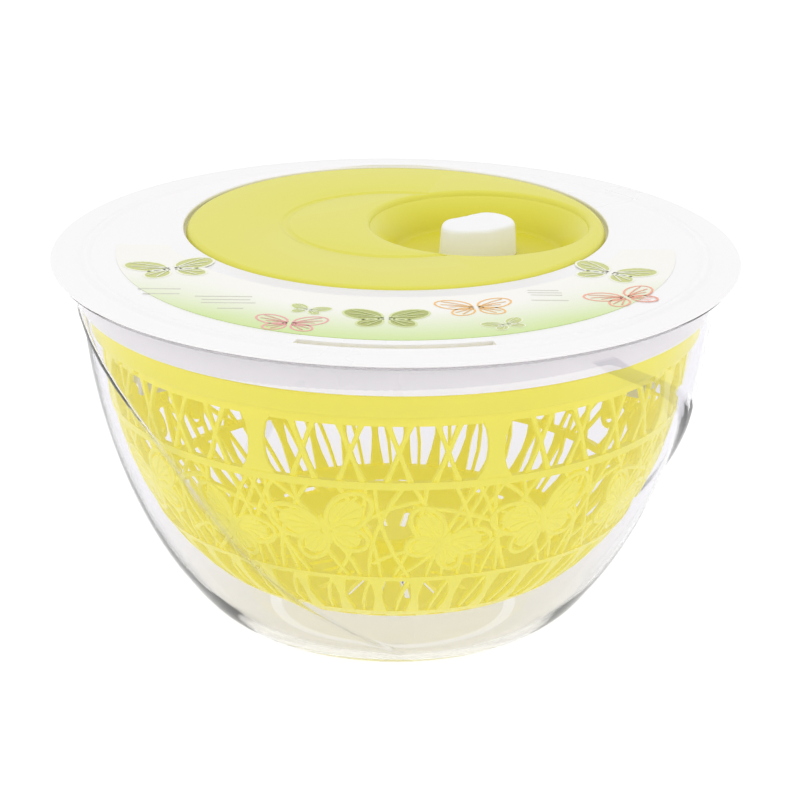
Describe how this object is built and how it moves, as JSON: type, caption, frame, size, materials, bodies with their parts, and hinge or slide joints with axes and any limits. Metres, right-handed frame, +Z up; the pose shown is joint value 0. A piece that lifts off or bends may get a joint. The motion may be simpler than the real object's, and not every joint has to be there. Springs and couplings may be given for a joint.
{
  "type": "salad spinner",
  "caption": "Salad spinner: clear bowl, perforated turning basket, and a lid whose crank disc with a finger knob drives the basket through an inner ring gear and pinion.",
  "frame": {"origin": "on the table under the centre of the bowl's foot", "axes": "+Z up along the bowl's and basket's axis; the crank disc is set back from it along +Y, and the drain slot is at the -Y front"},
  "size_m": [0.252, 0.252, 0.142],
  "materials": {
    "clear_plastic": "clear moulded styrene plastic, slightly lilac, glossy",
    "lime_plastic": "satin lime-yellow polypropylene",
    "white_plastic": "semi-gloss white plastic",
    "acetal": "off-white acetal gear and bush plastic",
    "steel": "stainless screws and washers",
    "label_film": "printed film label, cream to pale green"
  },
  "bodies": {
    "bowl": {"bowl": "clear_plastic"},
    "basket": {"basket": "lime_plastic", "basket_bush": "acetal"},
    "lid": {"lid": "white_plastic", "label": "label_film", "gear_housing": "white_plastic", "housing_screws": "steel", "disc_bush": "acetal", "pinion_bush": "acetal"},
    "crank": {"turning_disc": "lime_plastic", "ring_gear": "acetal", "ring_gear_screws": "steel", "disc_washer": "steel", "disc_screw": "steel", "knob_bush": "acetal"},
    "drive": {"pinion": "acetal", "driver": "white_plastic", "driver_washer": "steel", "driver_screw": "steel"},
    "knob": {"knob": "white_plastic", "knob_washer": "steel", "knob_screw": "steel"}
  },
  "joints": [
    {"name": "lid_lift", "type": "slide", "parent": "bowl", "child": "lid", "axis": [0, 0, 1], "range_m": [0, 0.06]},
    {"name": "crank_spin", "type": "hinge", "parent": "lid", "child": "crank", "pos_m": [0, 0.03225, 0], "axis": [0, 0, 1], "continuous": true},
    {"name": "drive_spin", "type": "hinge", "parent": "lid", "child": "drive", "pos_m": [0, 0, 0], "axis": [0, 0, 1], "continuous": true},
    {"name": "basket_spin", "type": "hinge", "parent": "bowl", "child": "basket", "pos_m": [0, 0, 0], "axis": [0, 0, 1], "continuous": true},
    {"name": "knob_spin", "type": "hinge", "parent": "crank", "child": "knob", "pos_m": [0.0313, 0.03545, 0], "axis": [0, 0, 1], "continuous": true}
  ],
  "couplings": [
    {"joint": "drive_spin", "follows": "crank_spin", "ratio": 3.15},
    {"joint": "basket_spin", "follows": "crank_spin", "ratio": 3.15}
  ]
}
